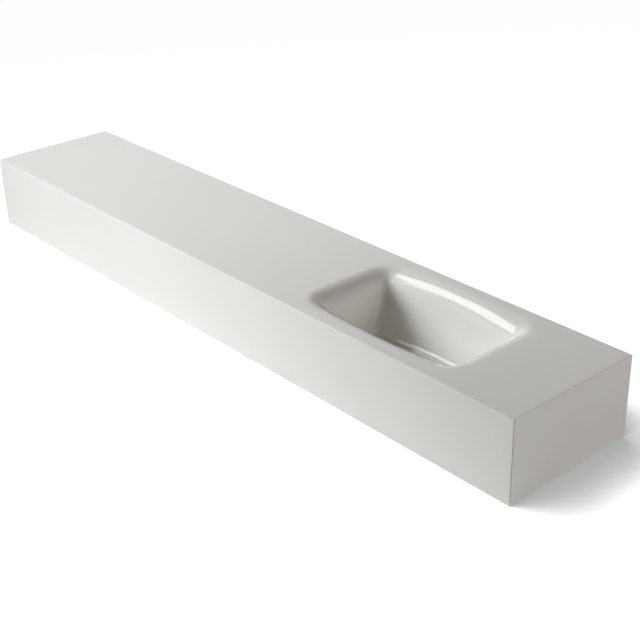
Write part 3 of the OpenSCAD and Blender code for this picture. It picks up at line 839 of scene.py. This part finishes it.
make_deck()
make_bowl()
for panel in ("front_apron", "left_end_panel", "right_end_panel"):
    from_solid(panel, SOLID_SURFACE, "solid_surface")


# Rear apron and wall plates: punched flat pieces

# Where the wall bolts go through, and the holes' radius
BOLT_X, BOLT_Z, BOLT_R = (-540, 0, 540), 76.0, 5.5
# A wall plate's half sizes, corners, thickness and front face, and its screws' spacing and holes
PLATE_HALF_L, PLATE_HALF_H, PLATE_CORNER = 28, 25, 4
PLATE_THICK, PLATE_Y = 4.0, 76.0
SCREW_HALF_X, SCREW_HALF_Z, SCREW_HOLE_R = 20, 17, 2.1
HOLE_STEPS = 48
PLATE_SPOTS = ring_spots(6, 1, 1)


def screw_spots(bolt_x):
    """The four screws round a wall bolt."""
    return [(bolt_x + dx, BOLT_Z + dz) for dx in (-SCREW_HALF_X, SCREW_HALF_X)
            for dz in (-SCREW_HALF_Z, SCREW_HALF_Z)]


def hole_edge(x, z, radius):
    """The edge of a round hole, as a ring that is grown by e and lies at a y."""
    def edge(e, at):
        def where(i):
            angle = math.radians(360 / HOLE_STEPS * i)
            return Vector((x + (radius + e) * math.cos(angle), at, z + (radius + e) * math.sin(angle)))
        return where
    return edge


def punched(bm, count, outline, y, thick, holes, ease):
    """A flat piece on edge from y towards the wall, with an outline of count places and round holes.

    The outline is a function of how far it is eased and of its y, and gives a ring. Holes are
    (x, z, radius).
    """
    steps = ((ease, 0.0), (0.0, ease), (0.0, thick - ease), (ease, thick))
    rims = []
    for places, edge in [(count, outline)] + [(HOLE_STEPS, hole_edge(*hole)) for hole in holes]:
        rims.append(ring_stack(bm, places, [edge(e, y + d) for e, d in steps]))
    for end, facing in ((0, -1), (1, 1)):
        edges = [e for rim in rims for e in rim[end]]
        bmesh.ops.triangle_fill(bm, use_beauty=True, edges=edges, normal=(0, facing, 0))


def make_rear_apron():
    """The rear sheet with its three bolt holes. Its ends are eased on the wall's side only."""
    half_l, half_h, middle = BODY_HALF_L - SHEET, SEAM / 2, BODY_HALF_D - SHEET / 2

    def edge(e, at):
        end = half_l - (e if at > middle else 0)
        return lambda i: Vector((end * (1, -1, -1, 1)[i], at, half_h + (half_h - e) * (1, 1, -1, -1)[i]))
    bm = bmesh.new()
    punched(bm, 4, edge, BODY_HALF_D - SHEET, SHEET, [(x, BOLT_Z, BOLT_R) for x in BOLT_X], 0.4)
    finish_piece(bm, "rear_apron_panel", SOLID_SURFACE, "solid_surface", "rear_apron", even=True)


def make_wall_plate(node, bolt_x):
    """A punched steel plate with rounded corners, its bolt hole and four screw holes."""
    def edge(e, at):
        def where(i):
            x, z = rounded(PLATE_SPOTS[i], PLATE_HALF_L - e, PLATE_HALF_H - e, PLATE_CORNER - e)
            return Vector((bolt_x + x, at, BOLT_Z + z))
        return where
    bm = bmesh.new()
    holes = [(bolt_x, BOLT_Z, BOLT_R)] + [(x, z, SCREW_HOLE_R) for x, z in screw_spots(bolt_x)]
    punched(bm, len(PLATE_SPOTS), edge, PLATE_Y, PLATE_THICK, holes, 0.35)
    finish_piece(bm, node + "_piece", GALVANISED, "galvanised_steel", node, even=True)


make_rear_apron()
for node, bolt_x in zip(("wall_plate_left", "wall_plate_centre", "wall_plate_right"), BOLT_X):
    make_wall_plate(node, bolt_x)


# Screws of the wall plates

HEAD_HIGH = 2.4


def shape_screw(bm):
    """A pan-headed screw that points down, with its head's top at the origin and a cross recess."""
    head = bmesh.ops.create_grid(bm, x_segments=9, y_segments=9, size=1.9)["verts"]
    middles = {f: f.calc_center_median() for f in bm.faces}
    cross = [f for f, m in middles.items() if min(abs(m.x), abs(m.y)) < 0.3 and m.length < 1.5]
    rim = [e for e in bm.edges if e.is_boundary]
    made = bmesh.ops.extrude_face_region(bm, geom=cross)["geom"]
    bmesh.ops.delete(bm, geom=cross, context="FACES")
    for v in new_verts(made):
        v.co = Vector((v.co.x * 0.72, v.co.y * 0.72, -1.3))
    for v in head:
        if v.is_valid:
            v.co.z -= 0.02 * (v.co.x ** 2 + v.co.y ** 2)
    for radius, z in ((2.5, -0.16), (3.1, -0.42), (3.6, -0.85), (3.9, -1.4), (4.0, -2.0), (3.9, -HEAD_HIGH),
                      (2.3, -HEAD_HIGH), (2.0, -2.7), (2.0, -16.5), (1.4, -18.6), (0.15, -20.3)):
        rim = extruded(bm, rim, lambda v: on_circle(v.co, radius, z))
    bmesh.ops.holes_fill(bm, edges=rim, sides=0)


def make_screws():
    """The wall plates' twelve screws, driven in towards the wall, all turned a little differently."""
    bm = bmesh.new()
    shape_screw(bm)
    one = everything(bm)
    for k, (x, z) in enumerate(spot for bolt_x in BOLT_X for spot in screw_spots(bolt_x)):
        verts = new_verts(bmesh.ops.duplicate(bm, geom=one)["geom"])
        rotate(bm, verts, "Z", 23 + 67 * k)
        rotate(bm, verts, "X", 90)
        bmesh.ops.translate(bm, vec=(x, PLATE_Y - HEAD_HIGH, z), verts=verts)
    bmesh.ops.delete(bm, geom=new_verts(one), context="VERTS")
    finish_piece(bm, "plate_screws_set", ZINC, "zinc_plated_steel", "plate_screws", smooth=30)


make_screws()


# Plywood frame

for node in ("front_batten", "rear_batten", "front_end_batten", "rear_end_batten", "corner_blocks"):
    from_solid(node, PLY_ALONG, "plywood", ease=0.5)
for node in ("cross_rib_1", "cross_rib_2", "cross_rib_3", "bowl_rib_left", "bowl_rib_right"):
    from_solid(node, PLY_ACROSS, "plywood", ease=0.5)


# The waste and what clamps it

# The tail's thread, G 1 1/4: its radius, depth and pitch, and the radius inside the tail's wall on
# which its ends close
THREAD_R, THREAD_DEPTH, THREAD_PITCH, THREAD_CORE = 20.955, 1.35, 2.309, 18.6
# The heights between which the tail is threaded, with a plain groove under the nut's stretch
THREADED = ((1.7, 12.4), (13.6, 30.4))
# The bore of what slides onto the tail
TAIL_BORE = 21.25
# A spider arm's length, width and height, and its middle's radius and height
ARM_SIZE, ARM_RADIUS, ARM_Z = (10.4, 3.0, 4.0), 11.7, 25.5


def add_thread(bm, low, high):
    """A stretch of raised screw thread between two heights, closed on the core inside it."""
    fresh = bmesh.new()
    turns = math.ceil((high - low) / THREAD_PITCH) + 2
    steps = 72
    root = THREAD_R - THREAD_DEPTH
    outline = ((root, 0.0), (root, 0.10), (THREAD_R, 0.44), (THREAD_R, 0.56), (root, 0.90), (root, 1.0))
    verts = [fresh.verts.new((r, 0, low - THREAD_PITCH + share * THREAD_PITCH)) for r, share in outline]
    edges = [fresh.edges.new(pair) for pair in zip(verts, verts[1:])]
    bmesh.ops.spin(fresh, geom=verts + edges, cent=(0, 0, 0), axis=(0, 0, 1),
                   dvec=(0, 0, THREAD_PITCH / steps), angle=2 * math.pi * turns, steps=steps * turns)
    bmesh.ops.remove_doubles(fresh, verts=fresh.verts, dist=0.004)
    for height, up in ((low, False), (high, True)):
        bmesh.ops.bisect_plane(fresh, geom=everything(fresh), dist=0.0005, plane_co=(0, 0, height),
                               plane_no=(0, 0, 1), clear_outer=up, clear_inner=not up)
    ends = []
    for height in (low, high):
        rim = open_edges_at(fresh, height, 0.01)
        ends += extruded(fresh, rim, lambda v: on_circle(v.co, THREAD_CORE, height))
    bmesh.ops.bridge_loops(fresh, edges=ends)
    bmesh.ops.recalc_face_normals(fresh, faces=fresh.faces)
    part = bpy.data.meshes.new("thread")
    fresh.to_mesh(part)
    fresh.free()
    bm.from_mesh(part)
    bpy.data.meshes.remove(part)


def add_spider(bm):
    """The hub that holds the cartridge, and its four arms to the tail."""
    turned(bm, [(5.55, 23.5), (7.7, 23.5), (8.0, 23.8), (8.0, 27.2), (7.7, 27.5), (5.55, 27.5)], steps=64)
    for turn in (0, 90, 180, 270):
        arm = bmesh.ops.create_cube(bm, size=1)["verts"]
        bmesh.ops.scale(bm, vec=ARM_SIZE, verts=arm)
        bmesh.ops.translate(bm, vec=(ARM_RADIUS, 0, ARM_Z), verts=arm)
        rotate(bm, arm, "Z", turn)
        ease_rims(bm, unique(f for v in arm for f in v.link_faces), 0.5, 2, sharper=60)


def make_waste_body():
    """The waste's flange, tail, threads and spider."""
    bm = bmesh.new()
    turned(bm, [(16.5, 1.5), (19.2, 1.5), (19.2, 31.5), (31.5, 31.5), (31.45, 32.1), (30.5, 33.1),
                (29.6, 33.2), (22.5, 32.95), (20.4, 32.7), (19.45, 32.1), (19.305, 31.4), (19.305, 29.5),
                (17.2, 29.5), (16.5, 28.9)], steps=128, ease=0.18, sharper=40)
    for low, high in THREADED:
        add_thread(bm, low, high)
    add_spider(bm)
    finish_on_axis(bm, "waste_fitting", CHROME, "chrome", "waste_body", smooth=30)


def make_back_nut():
    """A hexagon nut: a turned blank with chamfered rims, cut by six flats."""
    half_across = 26
    bm = bmesh.new()
    turned(bm, [(21.0, 14.1), (21.6, 13.5), (27.9, 13.5), (30.1, 14.6), (30.1, 19.4), (27.9, 20.5),
                (21.6, 20.5), (21.0, 19.9)], steps=144)
    for k in range(6):
        angle = math.radians(30 + 60 * k)
        out = Vector((math.cos(angle), math.sin(angle), 0))
        bmesh.ops.bisect_plane(bm, geom=everything(bm), dist=0.0005, plane_co=out * half_across,
                               plane_no=out, clear_outer=True)
        bmesh.ops.holes_fill(bm, edges=[e for e in bm.edges if e.is_boundary], sides=0)
    finish_on_axis(bm, "waste_back_nut", BRASS, "brass", "back_nut", smooth=24)


def make_ring(node, finish, slot, outer, low, high, ease):
    """A flat ring on the waste's tail."""
    corners = [(TAIL_BORE, low), (outer, low), (outer, high), (TAIL_BORE, high)]
    turned_piece(node + "_ring", finish, slot, node, corners, steps=112, ease=ease, ease_steps=3)


make_waste_body()
make_back_nut()
make_ring("flange_gasket", BLACK_RUBBER, "black_rubber", outer=31.0, low=30.5, high=31.5, ease=0.3)
make_ring("rubber_washer", BLACK_RUBBER, "black_rubber", outer=29.955, low=21.5, high=24.0, ease=0.5)
make_ring("slip_washer", WHITE_PLASTIC, "white_plastic", outer=28.955, low=20.5, high=21.5, ease=0.2)


# The push-open cartridge and the plug

def make_cartridge():
    """The barrel, closed at its foot, and the cap on top of it."""
    barrel = [(0, 3.5), (5.0, 3.5), (5.5, 4.0), (5.5, 27.5), (4.3, 27.5), (4.3, 5.0), (4.0, 4.7), (0, 4.7)]
    turned_piece("cartridge_tube", WHITE_PLASTIC, "white_plastic", "cartridge_barrel", barrel, steps=64,
                 ease=0.15, closed=False)
    cap = [(3.05, 27.5), (7.0, 27.5), (7.0, 28.5), (6.5, 29.0), (3.5, 29.0), (3.05, 28.6)]
    turned_piece("cartridge_top", WHITE_PLASTIC, "white_plastic", "cartridge_cap", cap, steps=64, ease=0.12)


def make_spring():
    """Round wire wound four turns, with its ends cut square."""
    wire_r, coil_r, foot, rise, turns = 0.4, 3.7, 5.12, 11.46, 4
    steps = 48 * turns
    bm = bmesh.new()
    wire = bmesh.ops.create_circle(bm, segments=12, radius=wire_r, cap_ends=False)["verts"]
    rotate(bm, wire, "X", 90)
    bmesh.ops.translate(bm, vec=(coil_r, 0, foot), verts=wire)
    bmesh.ops.spin(bm, geom=wire + list(bm.edges), cent=(0, 0, 0), axis=(0, 0, 1),
                   dvec=(0, 0, rise / steps), angle=2 * math.pi * turns, steps=steps)
    bmesh.ops.holes_fill(bm, edges=[e for e in bm.edges if e.is_boundary], sides=0)
    finish_on_axis(bm, "cartridge_coil", SPRING_STEEL, "spring_steel", "cartridge_spring", smooth=50)


def make_plug():
    """The shallow domed cap, the lipped seal under it and the stem with its collar."""
    dome = [(r, 33.6 + 1.2 * (1 - (r / 18.805) ** 2)) for r in (0, 3, 6, 9, 12, 14.5, 16.5, 17.8)]
    rim = [(18.3, 33.55), (18.65, 33.3), (18.78, 32.95), (18.78, 32.2), (18.5, 31.75), (18.1, 31.6),
           (0, 31.6)]
    turned_piece("plug_dome", CHROME, "chrome", "plug_cap", dome + rim, body="plug", smooth=50, steps=128,
                 closed=False)
    seal = [(8.0, 29.6), (17.6, 29.6), (18.4, 30.0), (18.4, 30.4), (17.9, 30.6), (17.9, 31.0), (18.4, 31.2),
            (18.3, 31.6), (8.0, 31.6)]
    turned_piece("plug_seal_ring", BLACK_RUBBER, "black_rubber", "plug_seal", seal, body="plug", steps=112,
                 ease=0.12)
    stem = [(0, 17.0), (3.7, 17.0), (4.1, 17.4), (4.1, 18.7), (3.8, 19.0), (3.0, 19.0), (3.0, 29.6),
            (7.8, 29.6), (7.8, 31.6), (0, 31.6)]
    turned_piece("plug_pin", STEM_STEEL, "stem_steel", "plug_stem", stem, body="plug", steps=64, ease=0.15,
                 closed=False)


make_cartridge()
make_spring()
make_plug()
